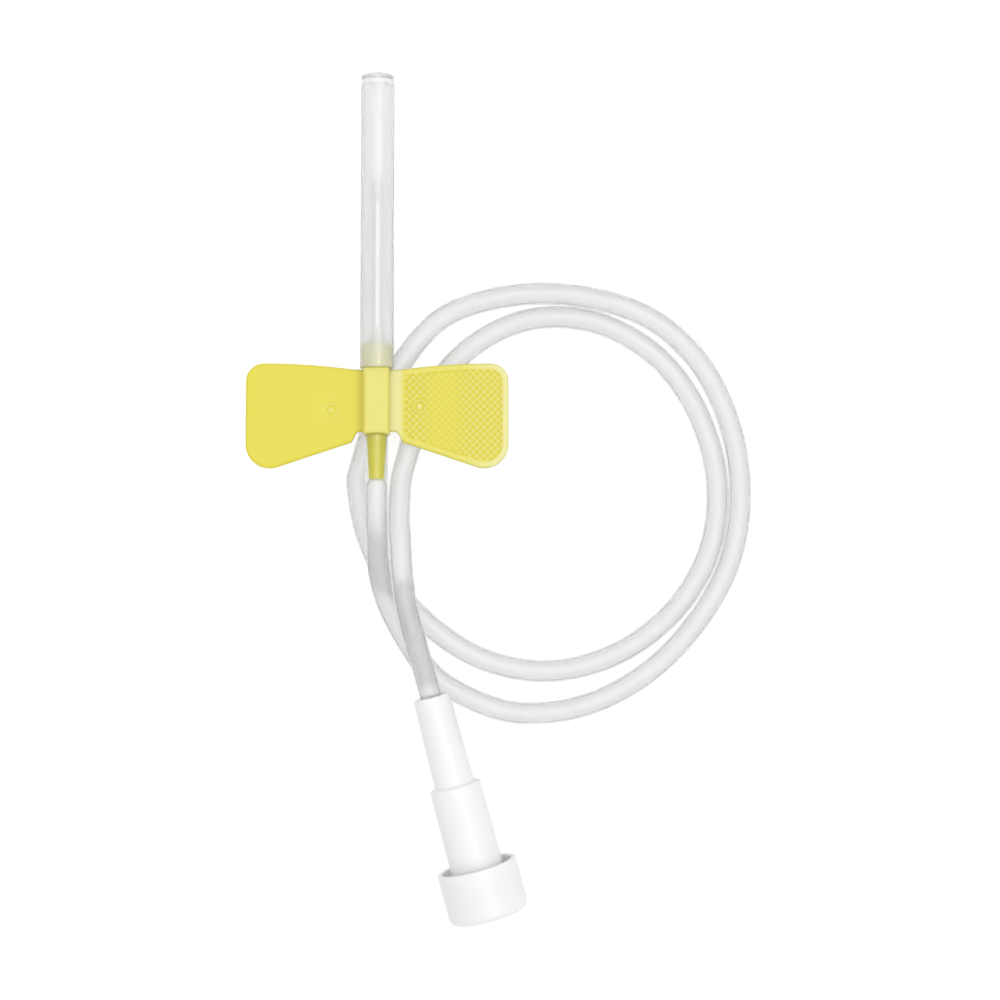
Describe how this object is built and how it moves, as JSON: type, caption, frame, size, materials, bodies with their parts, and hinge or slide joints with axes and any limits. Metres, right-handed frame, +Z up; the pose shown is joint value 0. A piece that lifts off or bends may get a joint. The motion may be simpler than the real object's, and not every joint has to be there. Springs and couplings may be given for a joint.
{
  "type": "winged infusion set",
  "caption": "Winged needle set with a sheathed steel needle, two folding wings, a soft tube in two turns and a capped luer connector.",
  "frame": {"origin": "on the table, under the middle of the needle end's box (sheath, needle, hub and wings)", "axes": "+Y along the needle towards its point, +X across to the right wing, +Z up from the table"},
  "size_m": [0.0565, 0.0948, 0.009],
  "materials": {
    "clear_sheath": "translucent",
    "needle_steel": "ground",
    "white_glue": "gloss",
    "yellow_wings": "satin",
    "clear_tube": "frosted",
    "white_connector": "satin"
  },
  "bodies": {
    "hub_and_tube": {"hub": "yellow_wings", "needle": "needle_steel", "needle_bond": "white_glue", "infusion_tube": "clear_tube", "luer_connector": "white_connector"},
    "sheath": {"needle_sheath": "clear_sheath"},
    "left_grip": {"left_wing": "yellow_wings"},
    "right_grip": {"right_wing": "yellow_wings"},
    "cap": {"luer_cap": "white_connector"}
  },
  "joints": [
    {"name": "sheath_pull", "type": "slide", "parent": "hub_and_tube", "child": "sheath", "axis": [0, 0.9979, -0.0649], "range_m": [0, 0.03]},
    {"name": "cap_pull", "type": "slide", "parent": "hub_and_tube", "child": "cap", "axis": [0.2588, -0.9659, 0], "range_m": [0, 0.012]},
    {"name": "left_fold", "type": "hinge", "parent": "hub_and_tube", "child": "left_grip", "pos_m": [-0.0017, -0.01407, 0.00359], "axis": [0, 0.9979, -0.0649], "range_deg": [0, 90]},
    {"name": "right_fold", "type": "hinge", "parent": "hub_and_tube", "child": "right_grip", "pos_m": [0.0017, -0.01407, 0.00359], "axis": [0, -0.9979, 0.0649], "range_deg": [0, 90]}
  ]
}
